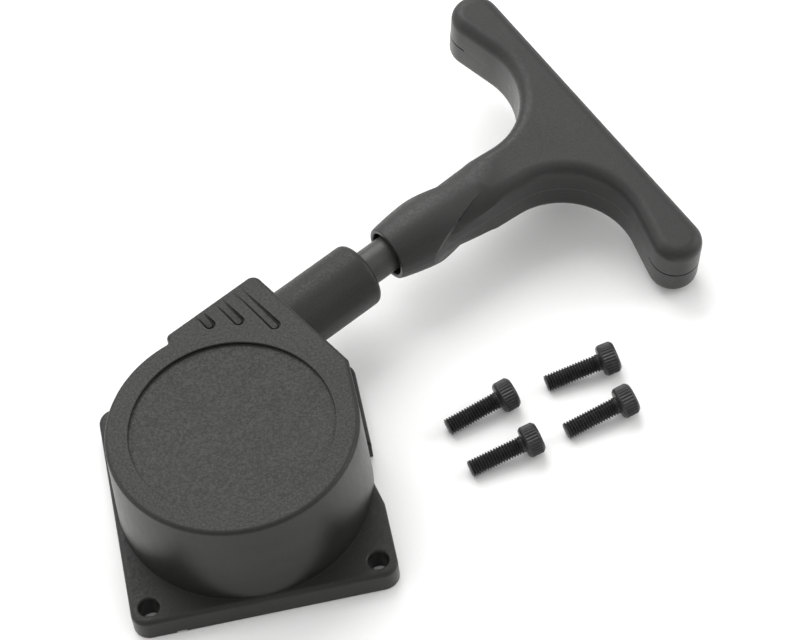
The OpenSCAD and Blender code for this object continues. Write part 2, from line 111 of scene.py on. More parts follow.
SLOTS = [(18.1, 10.3), (14.3, 15.2), (10.3, 18.0)]
SLOT_W = 2.1
SLOT_DEPTH = 0.8
SLOT_CROWN = 0.25
SLOT_FADE = 0.6
ROPE_OFFSET = 16.3
ROPE_H = 12.5
TUBE_R = 5.88
TUBE_END = 40.0
TUBE_EDGE_R = 1.2
TUBE_FILLET = 1.3
TUBE_LAND = 0.25
GUIDE_R = 3.2
GUIDE_BORE_R = 1.6
GUIDE_SEAT = 12.0
GUIDE_CHAMFER = 0.3
GUIDE_LIP = 0.4
CORD_WAY_START = 8

# Handle sizes in millimetres, from its mouth along the rope. It leans on the rope guide by the three angles.
MOUTH = 45.6
HANDLE_YAW = -4.1
HANDLE_DROOP = 1.3
HANDLE_ROLL = 9.2
HANDLE_HALF_T = 6.1
HANDLE_EDGE_R = 2.2
GRIP_X = 40.6
GRIP_REACH = 28.6
GRIP_END_R = 4.4
FINGER_X = 25.8
FINGER_R = 12.7
NECK_HALF = 4.7
NECK_START = 5.0
NECK_CONE = [(5.0, 4.7), (12.0, 5.2), (19.4, 6.1), (27.0, 8.3)]
MOUTH_R = 4.85
MOUTH_LIP_R = 0.3
BARREL_R = 6.2
BARREL_WIDE = 10.5
BARREL_END = 20.0
BARREL_END_R = 5.9
FACET_START = 5.0
FACET_TIP = (19.4, 1.5)
SOCKET_R = 4.0
SOCKET_DEPTH = 4.0
SOCKET_CHAMFER = 0.15
GAP_START = 26.5
GAP_END = 40
GAP_T = 0.38
GAP_DEPTH = 0.9
SHELL_SCREWS = [(35.4, 0), (GRIP_X, 25), (GRIP_X, -25)]
SHELL_PILOT_R = 1.12
SHELL_PILOT_DEPTH = 4.4
SHELL_CLEAR_R = 1.2
SHELL_HEAD_R = 2.15
SHELL_HEAD_SEAT = 3.5

# Rope sizes in millimetres. The stretch between ROPE_HELD and ROPE_PULLED opens when the handle is pulled.
ROPE_R = 1.1
ROPE_HELD = 14.0
ROPE_PULLED = MOUTH
ROPE_BORE_R = ROPE_R + 0.3
ROPE_BORE_END = 14
KNOT_SEAT = 13.0
KNOT_WASHER_T = 0.8
KNOT_R = 2.4
KNOT_ROOM_R = 3.3
KNOT_ROOM_END = 20.4
BRAID_STRANDS = 8
BRAID_PITCH = 7.0

# Loose M3 x 10 cap screws, in millimetres: where each lies and the way that it points, in degrees.
CAP_SCREWS = [(35.4, 6.2, 16), (37.4, -3.1, 12), (53.5, 11, 8), (54.6, 0.5, 14)]
SCREW_LENGTH = 10.0
SHANK_R = 1.5
THREAD_PITCH = 0.5
THREAD_DEPTH = 0.31
THREAD_CREST = 0.08
THREAD_FLANK = 0.8
THREAD_RUN_IN = 0.5
THREAD_RUN_OUT = 1.1
HEAD_H = 3.0
HEAD_R = 2.75
KNURL_TEETH = 32
KNURL_DEPTH = 0.14
HEX_FLATS = 2.5
HEX_DEPTH = 1.35
SCREW_TURN = 41

# Studio, in metres and watts, and the camera, in degrees and millimetres.
FLOOR_HALF = 3.0
FLOOR_Z = -0.00002
WORLD_STRENGTH = 0.77
WORLD_TILT = 0.8
WORLD_BLEND = (("From Min", -0.9), ("From Max", 0.9), ("To Min", 0.45), ("To Max", 1.25))
LAMPS = (
    ("key", (-0.15, 0.8, 1.0), 1.0, 10.5),
    ("fill", (1.0, 0.1, 0.45), 0.7, 3.5),
    ("left", (-1.0, 0.2, 0.5), 0.7, 2.0),
)
LAMP_AIM = (0.03, 0.03, 0)
CAMERA_AZIMUTH = -4.45
CAMERA_ELEVATION = 52.51
CAMERA_ROLL = -7.93
CAMERA_TARGET = (31.97, 31.75, 0)
CAMERA_DISTANCE = 570.85
CAMERA_LENS = 147.75
CAMERA_SENSOR = 36
CAMERA_CLIP = 20

handle_pull = next(j for j in frame["joints"] if j["name"] == "handle_pull")
flange_holes = next(m for m in frame["record"]["mounts"] if m["name"] == "flange_holes")
rope_way = Vector(handle_pull["axis"])
rope_angle = math.atan2(rope_way.y, rope_way.x)
travel = handle_pull["range_m"][1] / MM
hole_half = flange_holes["dims"]["spacing_x_mm"] / 2


# Frames

def turned(degrees, axis):
    return Matrix.Rotation(math.radians(degrees), 4, axis)


def moved(x, y, z):
    return Matrix.Translation((x, y, z))


rope_frame = Matrix.Rotation(rope_angle, 4, "Z")


def on_rope(along):
    return rope_frame @ moved(along, ROPE_OFFSET, ROPE_H) @ turned(90, "Y")


handle_lean = turned(HANDLE_YAW, "Z") @ turned(HANDLE_DROOP, "Y") @ turned(HANDLE_ROLL, "X")
in_handle = rope_frame @ moved(MOUTH, ROPE_OFFSET, ROPE_H) @ handle_lean


# Mesh building

def arc(cx, cy, r, start, end, steps):
    angles = [math.radians(start + (end - start) * i / steps) for i in range(steps + 1)]
    return [(cx + r * math.cos(a), cy + r * math.sin(a)) for a in angles]


def inset(outline, depth):
    """The outline, which runs anticlockwise, moved inward by depth."""
    moved_in = []
    for i, here in enumerate(outline):
        before, after = Vector(outline[i - 1]), Vector(outline[(i + 1) % len(outline)])
        here = Vector(here)
        way_in, way_out = (here - before).normalized(), (after - here).normalized()
        normal = Vector((-(way_in.y + way_out.y), way_in.x + way_out.x)).normalized()
        reach = depth / max(MITRE_LIMIT, normal.dot(Vector((-way_in.y, way_in.x))))
        moved_in.append(tuple(here + normal * reach))
    return moved_in


def loft(rings, at=None):
    """A closed solid through rings of equally many points, with flat ends."""
    bm = bmesh.new()
    rows = [[bm.verts.new(p) for p in ring] for ring in rings]
    count = len(rows[0])
    for low, high in zip(rows, rows[1:]):
        for i in range(count):
            j = (i + 1) % count
            bm.faces.new((low[i], low[j], high[j], high[i]))
    bm.faces.new(list(reversed(rows[0])))
    bm.faces.new(rows[-1])
    return solid(bm, at)


def slab(outline, low_z, high_z, low_r=0.0, high_r=0.0, steps=6, grow=0.0, at=None):
    """An extruded outline with rounded edges; its foot is wider by grow."""
    edge_angles = [math.radians(90 * i / steps) for i in range(steps + 1)]
    levels = [(low_z, low_r + RIM if low_r else -grow)]
    if low_r:
        levels += [(low_z + low_r * (1 - math.cos(a)), low_r * (1 - math.sin(a)) - grow) for a in edge_angles]
    if high_r:
        levels += [(high_z - high_r * (1 - math.sin(a)), high_r * (1 - math.cos(a))) for a in edge_angles]
    levels.append((high_z, high_r + RIM if high_r else 0))
    return loft([[(x, y, z) for x, y in inset(outline, depth)] for z, depth in levels], at)


def lathe(profile, at=None, segments=96):
    """A solid of revolution about Z from (radius, height) points, from the lower pole to the upper one."""
    bm = bmesh.new()
    rows = []
    for r, z in profile:
        if r == 0:
            rows.append([bm.verts.new((0, 0, z))])
            continue
        turns = [math.tau * i / segments for i in range(segments)]
        rows.append([bm.verts.new((r * math.cos(t), r * math.sin(t), z)) for t in turns])
    closed = profile[0][0] != 0
    pairs = list(zip(rows, rows[1:])) + ([(rows[-1], rows[0])] if closed else [])
    for low, high in pairs:
        for i in range(segments):
            j = (i + 1) % segments
            ring = [low[i % len(low)], low[j % len(low)], high[j % len(high)], high[i % len(high)]]
            bm.faces.new(list(dict.fromkeys(ring)))
    return solid(bm, at)


def solid(bm, at=None):
    """Closes the building of a mesh: normals outward, placed by at, and linked as an object."""
    bmesh.ops.recalc_face_normals(bm, faces=bm.faces)
    if at:
        bm.transform(at)
    mesh = bpy.data.meshes.new("part")
    bm.to_mesh(mesh)
    bm.free()
    made = bpy.data.objects.new("part", mesh)
    bpy.context.scene.collection.objects.link(made)
    return made


def combine(target, tool, operation):
    """Applies a boolean to target and removes the tool."""
    change = target.modifiers.new("shape", "BOOLEAN")
    change.operation = operation
    change.object = tool
    change.solver = "MANIFOLD"
    graph = bpy.context.evaluated_depsgraph_get()
    result = bpy.data.meshes.new_from_object(target.evaluated_get(graph))
    target.modifiers.clear()
    target.data = result
    bpy.data.objects.remove(tool)
    return target


def join(target, *tools):
    for tool in tools:
        combine(target, tool, "UNION")
    return target


def cut(target, *tools):
    for tool in tools:
        combine(target, tool, "DIFFERENCE")
    return target


def disc(r, low, high, at=None, segments=96):
    return lathe([(0, low), (r, low), (r, high), (0, high)], at, segments)


def block(low, high, at=None):
    outline = [(low[0], low[1]), (high[0], low[1]), (high[0], high[1]), (low[0], high[1])]
    return loft([[(x, y, z) for x, y in outline] for z in (low[2], high[2])], at)


def copy_of(made):
    twin = made.copy()
    twin.data = made.data.copy()
    bpy.context.scene.collection.objects.link(twin)
    return twin


def piece(made, name, body, material, nodes=(), smooth=SMOOTH_ANGLE):
    """Turns a built solid into a finished piece that rides on a body and stands for CAD nodes."""
    made.name = name
    made.data.name = name
    made.data.transform(Matrix.Scale(MM, 4))
    made.data.shade_smooth()
    made.data.set_sharp_from_angle(angle=smooth)
    made.data.materials.clear()
    made.data.materials.append(material)
    if body:
        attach(made, body)
    if nodes:
        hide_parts(*nodes)
    return made


# Materials

class Recipe:
    """A Principled material with helpers for its procedural parts."""

    def __init__(self, name, **sockets):
        self.material = bpy.data.materials.new(name)
        self.material.use_nodes = True
        self.tree = self.material.node_tree
        self.shader = self.tree.nodes["Principled BSDF"]
        self.coordinates = self.add("ShaderNodeTexCoord").outputs["Object"]
        for socket, value in sockets.items():
            self.shader.inputs[socket.replace("_", " ")].default_value = value

    def add(self, kind, **settings):
        node = self.tree.nodes.new(kind)
        for key, value in settings.items():
            if key in node.inputs:
                node.inputs[key].default_value = value
            else:
                setattr(node, key, value)
        return node

    def link(self, output, node, socket):
        self.tree.links.new(output, node.inputs[socket])

    def noise(self, size_mm, detail=3.0, roughness=0.55, vector=None):
        node = self.add("ShaderNodeTexNoise", Scale=1 / (size_mm * MM), Detail=detail, Roughness=roughness)
        self.link(vector or self.coordinates, node, "Vector")
        return node.outputs["Fac"]

    def stretched(self, x, y, z):
        node = self.add("ShaderNodeMapping")
        node.inputs["Scale"].default_value = (x, y, z)
        self.link(self.coordinates, node, "Vector")
        return node.outputs["Vector"]

    def ramp(self, value, stops):
        node = self.add("ShaderNodeValToRGB")
        elements = node.color_ramp.elements
        while len(elements) < len(stops):
            elements.new(0.5)
        for element, (place, colour) in zip(elements, stops):
            element.position = place
            element.color = (*colour, 1) if len(colour) == 3 else colour
        self.link(value, node, "Fac")
        return node.outputs["Color"]

    def span(self, value, low, high, start=0.0, end=1.0):
        node = self.add("ShaderNodeMapRange")
        for socket, number in (("From Min", start), ("From Max", end), ("To Min", low), ("To Max", high)):
            node.inputs[socket].default_value = number
        self.link(value, node, "Value")
        return node.outputs["Result"]

    def mixed(self, factor, first, second, how="MIX"):
        node = self.add("ShaderNodeMix", data_type="RGBA", blend_type=how)
        for socket, value in ((0, factor), (6, first), (7, second)):
            if isinstance(value, (int, float)):
                node.inputs[socket].default_value = value
            elif isinstance(value, tuple):
                node.inputs[socket].default_value = (*value, 1)
            else:
                self.tree.links.new(value, node.inputs[socket])
        return node.outputs[2]

    def maths(self, how, first, second):
        node = self.add("ShaderNodeMath", operation=how)
        for socket, value in ((0, first), (1, second)):
            if isinstance(value, (int, float)):
                node.inputs[socket].default_value = value
            else:
                self.tree.links.new(value, node.inputs[socket])
        return node.outputs[0]

    def facing_up(self):
        """How squarely a face looks along the mould's draw: 1 for top and back faces, 0 for walls."""
        parts = self.add("ShaderNodeSeparateXYZ")
        self.link(self.add("ShaderNodeNewGeometry").outputs["True Normal"], parts, "Vector")
        return self.maths("ABSOLUTE", parts.outputs["Z"], 0.0)

    def edges(self, radius_mm, low=0.02, high=0.16):
        """0 on open faces and in inner corners, 1 along outward edges."""
        rounded = self.add("ShaderNodeBevel", samples=6, Radius=radius_mm * MM)
        normal = self.add("ShaderNodeNewGeometry").outputs["Normal"]
        dot = self.add("ShaderNodeVectorMath", operation="DOT_PRODUCT")
        self.tree.links.new(rounded.outputs["Normal"], dot.inputs[0])
        self.tree.links.new(normal, dot.inputs[1])
        inner = self.add("ShaderNodeAmbientOcclusion", samples=6, inside=True, only_local=True)
        inner.inputs["Distance"].default_value = EDGE_SEARCH * MM
        outward = self.span(inner.outputs["AO"], 1.0, 0.0, 0.72, 0.97)
        return self.maths("MULTIPLY", self.span(dot.outputs["Value"], 0.0, 1.0, 1 - low, 1 - high), outward)

    def bump(self, layers, rounding_mm=None):
        """Layers are (height, strength, distance in mm), the coarsest first."""
        normal = None
        if rounding_mm:
            normal = self.add("ShaderNodeBevel", samples=6, Radius=rounding_mm * MM).outputs["Normal"]
        for height, strength, distance in layers:
            node = self.add("ShaderNodeBump", Strength=strength, Distance=distance * MM)
            self.link(height, node, "Height")
            if normal:
                self.link(normal, node, "Normal")
            normal = node.outputs["Normal"]
        self.link(normal, self.shader, "Normal")

    def colour(self, output):
        self.link(output, self.shader, "Base Color")

    def roughness(self, output):
        self.link(output, self.shader, "Roughness")


def filled_nylon(name, dark, light, roughness, gloss):
    """Black glass-filled nylon: spark-eroded grain, faint flow marks, smoother walls, and a painted highlight that
    lightens the outward edges, broken up by noise like rubbed wear.
    """
    r = Recipe(name, IOR=1.5, Specular_IOR_Level=gloss)
    grain = r.noise(0.22, 4, 0.65)
    pores = r.noise(0.09, 2, 0.5)
    flow = r.noise(9, 3, 0.5, r.stretched(1, 1, 2.5))
    tone = r.mixed(r.span(grain, 0, 1, 0.3, 0.7), dark, light)
    tone = r.mixed(r.span(flow, 0.0, 0.28, 0.35, 0.7), tone, tuple(c * 1.35 for c in light))
    # Painted highlight: the outward edges get a much lighter colour, patched by noise so that it also reads as
    # rubbed wear.
    edge_rub_and_painted_highlight = r.maths("MULTIPLY", r.edges(0.35), r.span(r.noise(1.6, 4, 0.7), 0.25, 0.8, 0.3, 0.7))
    r.colour(r.mixed(edge_rub_and_painted_highlight, tone, tuple(c * 5.5 for c in light)))
    grained = r.span(r.noise(0.42, 3, 0.7), roughness[0], roughness[1], 0.35, 0.65)
    drawn = r.span(r.noise(0.7, 3, 0.6, r.stretched(1, 1, 0.25)), 0.29, 0.35, 0.3, 0.7)
    upright = r.span(r.facing_up(), 1.0, 0.0, 0.1, 0.5)
    flat_share = r.maths("MULTIPLY", grained, r.maths("SUBTRACT", 1.0, upright))
    r.roughness(r.maths("ADD", flat_share, r.maths("MULTIPLY", drawn, upright)))
    r.bump([(flow, 0.12, 0.05), (grain, 0.7, 0.03), (pores, 0.4, 0.01)], rounding_mm=0.18)
    return r.material


def black_oxide():
    """Oiled black oxide: nearly black, a thin bright rub where knurl and edges were handled."""
    r = Recipe("black_oxide", Metallic=0.55, IOR=1.6)
    blotch = r.noise(1.1, 4, 0.6)
    tone = r.ramp(blotch, [(0.3, (0.016, 0.016, 0.017)), (0.7, (0.034, 0.033, 0.034))])
    edge_rub_and_painted_highlight = r.maths("MULTIPLY", r.edges(0.12, 0.03, 0.3), r.span(r.noise(0.6, 3), 0.15, 0.75, 0.35, 0.7))
    r.colour(r.mixed(edge_rub_and_painted_highlight, tone, (0.2, 0.195, 0.19)))
    r.roughness(r.span(r.noise(0.35, 3), 0.3, 0.48, 0.3, 0.7))
    r.bump([(r.noise(0.3, 3), 0.25, 0.01), (r.noise(0.07, 2), 0.25, 0.004)])
    return r.material


def steel(name, tint, roughness, brushed=(1, 1, 1), scuffs=0.12):
    """Rolled or ground steel with fine directional marks and cloudy plating."""
    r = Recipe(name, Metallic=1.0)
    cloud = r.noise(3.5, 4, 0.6)
    marks = r.noise(0.12, 3, 0.6, r.stretched(*brushed))
    r.colour(r.mixed(r.span(cloud, 0, 1, 0.35, 0.7), tuple(c * (1 - scuffs) for c in tint), tint))
    r.roughness(r.maths("ADD", r.span(cloud, roughness - 0.05, roughness + 0.06), r.span(marks, -0.05, 0.05)))
    r.bump([(marks, 0.25, 0.006)])
    return r.material


def moulded(name, dark, light, roughness, scatter=0.0):
    """Unfilled nylon or acetal: satin, with a soft mottle and a faint turned or moulded grain."""
    r = Recipe(name, IOR=1.5, Subsurface_Weight=scatter, Subsurface_Scale=0.6 * MM)
    mottle = r.noise(2.4, 4, 0.55)
    r.colour(r.mixed(r.span(mottle, 0, 1, 0.3, 0.7), dark, light))
    r.roughness(r.span(r.noise(0.6, 3), roughness - 0.06, roughness + 0.06, 0.3, 0.7))
    r.bump([(r.noise(0.25, 3), 0.2, 0.008)], rounding_mm=0.1)
    return r.material


def braided_cord():
    """Waxed nylon cord; the braid itself is in the mesh of the visible rope."""
    r = Recipe("braided_cord", Sheen_Weight=0.35, Sheen_Roughness=0.5)
    fibres = r.noise(0.06, 3, 0.6, r.stretched(1, 1, 0.4))
    r.colour(r.mixed(r.span(fibres, 0, 1, 0.3, 0.7), (0.012, 0.012, 0.013), (0.06, 0.059, 0.057)))
    r.roughness(r.span(fibres, 0.7, 0.9))
    r.bump([(fibres, 0.7, 0.03)])
    return r.material


def paper_floor():
    """Seamless pale paper with a faint fibre."""
    r = Recipe("paper_floor", Roughness=0.9)
    fibres = r.noise(0.8, 4, 0.6)
    r.colour(r.mixed(r.span(fibres, 0, 1, 0.3, 0.7), (0.93, 0.93, 0.925), (0.945, 0.945, 0.94)))
    r.bump([(fibres, 0.05, 0.02)])
    return r.material


case_nylon = filled_nylon(
    "case_nylon", (0.008, 0.008, 0.0076), (0.019, 0.0188, 0.0176), roughness=(0.39, 0.64), gloss=0.33
)
handle_nylon = filled_nylon(
    "handle_nylon", (0.010, 0.0099, 0.0096), (0.022, 0.0216, 0.0208), roughness=(0.38, 0.6), gloss=0.42
)
guide_acetal = moulded("guide_acetal", (0.028, 0.028, 0.026), (0.038, 0.038, 0.035), 0.42)
oxide = black_oxide()
zinc = steel("zinc_plated", (0.66, 0.67, 0.68), 0.3, (1, 6, 1))
blued_strip = steel("blued_strip", (0.3, 0.33, 0.4), 0.28, (1, 1, 8))
ground_steel = steel("ground_steel", (0.72, 0.72, 0.73), 0.16, (1, 1, 10), 0.05)
cage_plastic = moulded("cage_plastic", (0.035, 0.035, 0.035), (0.055, 0.055, 0.055), 0.5)
white_nylon = moulded("white_nylon", (0.74, 0.72, 0.66), (0.84, 0.83, 0.78), 0.42, 0.25)
cord = braided_cord()


# Case

def flange_outline():
    """Square with round corners and the notch in its right edge."""
    corner = FLANGE_HALF - FLANGE_CORNER_R
    return (
        arc(corner, corner, FLANGE_CORNER_R, 0, 90, 12)
        + arc(-corner, corner, FLANGE_CORNER_R, 90, 180, 12)
        + arc(-corner, -corner, FLANGE_CORNER_R, 180, 270, 12)
        + arc(corner, -corner, FLANGE_CORNER_R, 270, 360, 12)
        + NOTCH
    )


def tower_outline():
    """Drum and outlet block as one outline, with a small step where the block's back meets the drum."""
    lean = math.degrees(rope_angle)
    to_row = rope_frame.to_2x2()

    def corner(along, side, r, start, end, steps):
        centre = to_row @ Vector((along, side))
        return arc(centre.x, centre.y, r, start, end, steps)

    far_x = DRUM_R - OUTLET_END_R
    far_y = (OUTLET_END - OUTLET_END_R - far_x * math.cos(rope_angle)) / math.sin(rope_angle)
    wall = math.radians(180 + STEP_TURN)
    way = Vector((math.cos(wall), math.sin(wall)))
    outward = Vector((math.sin(wall), -math.cos(wall)))
    far = Vector((OUTLET_END - OUTLET_CORNER_R, OUTLET_SIDE - OUTLET_CORNER_R))
    step = Vector((OUTLET_BACK + STEP_CORNER_R, OUTLET_SIDE - STEP_CORNER_R))
    back = step + outward * (STEP_CORNER_R + STEP_FILLET)
    reach = DRUM_R + STEP_FILLET
    half_b = back.dot(way)
    fillet = back + way * (-half_b - math.sqrt(half_b**2 - back.length_squared + reach**2))
    meet = math.degrees(math.atan2(fillet.y, fillet.x))
    return (
        arc(far_x, far_y, OUTLET_END_R, 0, lean, 6)
        + corner(far.x, far.y, OUTLET_CORNER_R, lean, lean + 90, 12)
        + corner(step.x, step.y, STEP_CORNER_R, lean + 90, lean + 90 + STEP_TURN, 8)
        + corner(fillet.x, fillet.y, STEP_FILLET, lean + 270 + STEP_TURN, lean + 180 + meet, 8)
        + arc(0, 0, DRUM_R, lean + meet, 360, 120)[1:]
    )


def ramped_slot(along, inner):
    """Cutter for one slot, whose crowned floor climbs from its round inner end to the block's side."""
    reach = OUTLET_SIDE - SLOT_FADE - inner
    rise = math.degrees(math.atan(SLOT_DEPTH / reach))
    half = SLOT_W / 2
    outline = arc(0, half, half, 180, 360, 16) + [(half, 2 * reach), (-half, 2 * reach)]
    at = rope_frame @ moved(along, inner, CASE_H - SLOT_DEPTH) @ turned(rise, "X")
    height_and_inset = [
        (SLOT_CROWN, 0.7), (SLOT_CROWN, 0.55), (0, 0.3), (0.02, 0.16),
        (SLOT_DEPTH - 0.2, 0.05), (SLOT_DEPTH, -0.08), (3 * SLOT_DEPTH, -0.5),
    ]
    return loft([[(x, y, z) for x, y in inset(outline, depth)] for z, depth in height_and_inset], at)


def outlet_tube():
    """Round tube that leaves the block's end in a fillet and has a rounded rim."""
    root = OUTLET_END - OUTLET_WALL
    foot_r = TUBE_R + TUBE_FILLET
    profile = [(0, root), (TUBE_R, root), (TUBE_R, OUTLET_END - 0.4), (foot_r, OUTLET_END - 0.3)]
    profile += arc(foot_r, OUTLET_END + TUBE_FILLET, TUBE_FILLET, 270, 180, 6)
    profile += [(TUBE_R, TUBE_END - TUBE_EDGE_R - TUBE_LAND)]
    profile += arc(TUBE_R - TUBE_EDGE_R, TUBE_END - TUBE_EDGE_R, TUBE_EDGE_R, 0, 90, 10)
    profile += [(TUBE_R - TUBE_EDGE_R - TUBE_LAND, TUBE_END), (0, TUBE_END)]
    return lathe(profile, on_rope(0))


def recess_cutter():
    floor, outer = CASE_H - RECESS_DEPTH, RECESS_R + RECESS_CHAMFER
    profile = [(0, floor), (RECESS_R, floor), (RECESS_R, CASE_H - RECESS_CHAMFER)]
    profile += [(outer, CASE_H), (outer, CASE_H + 1), (0, CASE_H + 1)]
    return lathe(profile, segments=160)


def bolt_cutter(x, y):
    outer = HOLE_R + HOLE_CHAMFER
    profile = [(0, -1), (HOLE_R, -1), (HOLE_R, FLANGE_T - HOLE_CHAMFER)]
    profile += [(outer, FLANGE_T), (outer, HOLE_TOP), (0, HOLE_TOP)]
    return lathe(profile, moved(x, y, 0), 48)


def guide_cutter():
    seat, outer = TUBE_END - GUIDE_SEAT, GUIDE_R + GUIDE_CHAMFER
    profile = [(0, seat), (GUIDE_R, seat), (GUIDE_R, TUBE_END - GUIDE_CHAMFER)]
    profile += [(outer, TUBE_END), (outer, TUBE_END + 1), (0, TUBE_END + 1)]
    return lathe(profile, on_rope(0), 64)


def core_cutter():
    """Hollow under the outlet block, outside the flange."""
    low = (OUTLET_BACK + OUTLET_WALL, 0, OUTLET_Z - 1)
    high = (OUTLET_END - OUTLET_WALL, OUTLET_SIDE - OUTLET_WALL, OUTLET_Z + CORE_H)
    beyond_flange = block((-FAR, FLANGE_HALF + 1, -1), (FAR, FAR, 20))
    return combine(block(low, high, rope_frame), beyond_flange, "INTERSECT")


def case():
    """Flange, drum, block and tube with every hole, and inside them the post, the anchor pin and the lugs."""
    shell = slab(flange_outline(), 0, FLANGE_T, FLANGE_FOOT_R, FLANGE_EDGE_R)
    join(shell, slab(tower_outline(), OUTLET_Z, CASE_H, 0, EDGE_R, grow=DRUM_FLARE), outlet_tube())
    cut(shell, disc(CAVITY_R, -1, CEILING_Z))
    lug_places = [turned(360 * i / LUG_COUNT, "Z") @ moved(LUG_DIST, 0, 0) for i in range(LUG_COUNT)]
    lugs = [disc(LUG_R, POCKET_Z, POCKET_Z + LUG_H, at, 48) for at in lug_places]
    for lug in lugs:
        combine(lug, disc(CAVITY_R + OVERLAP, 0, CASE_H), "INTERSECT")
    post = disc(POST_R, POST_Z, CEILING_Z + OVERLAP)
    anchor = disc(ANCHOR_R, ANCHOR_Z, CEILING_Z + OVERLAP, rope_frame @ moved(0, -ANCHOR_DIST, 0), 32)
    join(shell, *lugs, post, anchor)
    cut(shell, disc(POCKET_R, -1, POCKET_Z, segments=128))
    cut(shell, *[disc(LUG_PILOT_R, 0, POCKET_Z + LUG_H - LUG_TOP_T, at, 32) for at in lug_places])
    cut(shell, recess_cutter())
    cut(shell, *[ramped_slot(along, inner) for along, inner in SLOTS])
    cut(shell, *[bolt_cutter(x, y) for x in (-hole_half, hole_half) for y in (-hole_half, hole_half)])
    cut(shell, block(*PRY_SLOT))
    cut(shell, disc(GUIDE_BORE_R + 0.1, CORD_WAY_START, TUBE_END + 1, on_rope(0), 48))
    return cut(shell, guide_cutter(), core_cutter())


# Rope guide

def rope_guide():
    """Sleeve with a lead-in at both ends of its bore and a rounded lip at the handle's end."""
    low, high = TUBE_END - GUIDE_SEAT, MOUTH + SOCKET_DEPTH - 0.5
    outer = [(GUIDE_R - GUIDE_CHAMFER, low), (GUIDE_R, low + GUIDE_CHAMFER), (GUIDE_R, high - 0.6)]
    outer += arc(GUIDE_R - 0.5, high - 0.5, 0.5, 0, 90, 6)
    inner = [(GUIDE_BORE_R + GUIDE_LIP, high), (GUIDE_BORE_R, high - GUIDE_LIP)]
    inner += [(GUIDE_BORE_R, low + GUIDE_LIP), (GUIDE_BORE_R + GUIDE_LIP, low)]
    return lathe(outer + inner, on_rope(0), 72)


# Handle

def grip_outline():
    """T outline: the finger curves run into the round ends along their common tangents."""
    between = Vector((FINGER_X - GRIP_X, FINGER_R + NECK_HALF - GRIP_REACH))
    heading = math.degrees(math.atan2(between.y, between.x)) % 360
    spread = math.degrees(math.acos((GRIP_END_R + FINGER_R) / between.length))
    touch = heading - spread
    half = arc(GRIP_X, GRIP_REACH, GRIP_END_R, 0, touch, 28)
    half += arc(FINGER_X, FINGER_R + NECK_HALF, FINGER_R, touch - 180, -90, 36)
    half += [(NECK_START + (FINGER_X - NECK_START) * t, NECK_HALF) for t in (0.66, 0.33, 0)]
    return half + [(x, -y) for x, y in reversed(half)]


def barrel_radius(x):
    """The barrel's radius at x: it swells to BARREL_WIDE and shrinks a little to its end."""
    if x < BARREL_WIDE:
        return MOUTH_R + (BARREL_R - MOUTH_R) * math.sin(math.radians(90 * x / BARREL_WIDE))
    share = (x - BARREL_WIDE) / (BARREL_END - BARREL_WIDE)
    return BARREL_END_R + (BARREL_R - BARREL_END_R) * math.cos(math.radians(90 * share))


def barrel():
    """Round barrel whose sides are cut to a wedge, so that it ends in a point on the neck."""
    profile = [(0, 0), (MOUTH_R - MOUTH_LIP_R - 0.1, 0)]
    profile += arc(MOUTH_R - MOUTH_LIP_R, MOUTH_LIP_R, MOUTH_LIP_R, -90, 0, 6)
    steps = 30
    places = [0.8 + (BARREL_END - 0.9) * i / steps for i in range(steps + 1)]
    profile += [(barrel_radius(x), x) for x in places]
    made = lathe(profile + [(0, profile[-1][1])], turned(90, "Y"), 128)
    end, clear = BARREL_END + 1, 8
    wedge = [(FACET_START, BARREL_R), FACET_TIP, (end, FACET_TIP[1]), (end, clear), (FACET_START, clear)]
    for side in (-1, 1):
        cut(made, loft([[(x, side * y, z) for x, y in wedge] for z in (-9, 9)]))
    return made


def handle_blank():
    """Both shells as one solid, without its bores."""
    grip = slab(grip_outline(), -HANDLE_HALF_T, HANDLE_HALF_T, HANDLE_EDGE_R, HANDLE_EDGE_R, 8)
    first_x, last_r = NECK_CONE[0][0], NECK_CONE[-1][0]
    cone = [(0, first_x)] + [(r, x) for x, r in NECK_CONE] + [(70, last_r), (70, 60), (0, 60)]
    combine(grip, lathe(cone, turned(90, "Y"), 128), "INTERSECT")
    return join(grip, barrel())


def handle_shells():
    """Upper and lower shell, with the guide's socket, the rope's bore, the knot's room and the gaps."""
    blank = handle_blank()
    along = turned(90, "Y")
    outer = SOCKET_R + SOCKET_CHAMFER
    socket = [(0, -1), (outer, -1), (outer, 0), (SOCKET_R, SOCKET_CHAMFER), (SOCKET_R, SOCKET_DEPTH)]
    socket += [(0, SOCKET_DEPTH)]
    bore = disc(ROPE_BORE_R, 1, ROPE_BORE_END, along, 48)
    room = disc(KNOT_ROOM_R, KNOT_SEAT, KNOT_ROOM_END, along, 48)
    cut(blank, lathe(socket, along, 64), bore, room)
    upper, lower = copy_of(blank), blank
    combine(upper, block((-5, -60, 0), (75, 60, 30)), "INTERSECT")
    combine(lower, block((-5, -60, -30), (75, 60, 0)), "INTERSECT")
    inside = inset(grip_outline(), GAP_DEPTH)
    for side in (-1, 1):
        low, high = sorted((side * GAP_START, side * GAP_END))
        groove = block((30, low, -GAP_T), (50, high, 0.5))
        cut(groove, slab(inside, -3, 3))
        cut(lower, groove)
    for x, y in SHELL_SCREWS:
        at = moved(x, y, 0)
        cut(upper, disc(SHELL_PILOT_R, -1, SHELL_PILOT_DEPTH, at, 32))
        cut(lower, disc(SHELL_CLEAR_R, -8, 1, at, 32), disc(SHELL_HEAD_R, -8, -SHELL_HEAD_SEAT, at, 48))
    for shell in (upper, lower):
        shell.data.transform(in_handle)
    return upper, lower


# Fasteners

def hex_socket_ring(r, z, segments):
    """A hexagon with as many points as the head's rings."""
    points = []
    for i in range(segments):
        turn = math.tau * i / segments
        reach = r * math.cos(math.pi / 6) / math.cos((turn + math.pi / 6) % (math.pi / 3) - math.pi / 6)
        points.append((reach * math.cos(turn), reach * math.sin(turn), z))
    return points


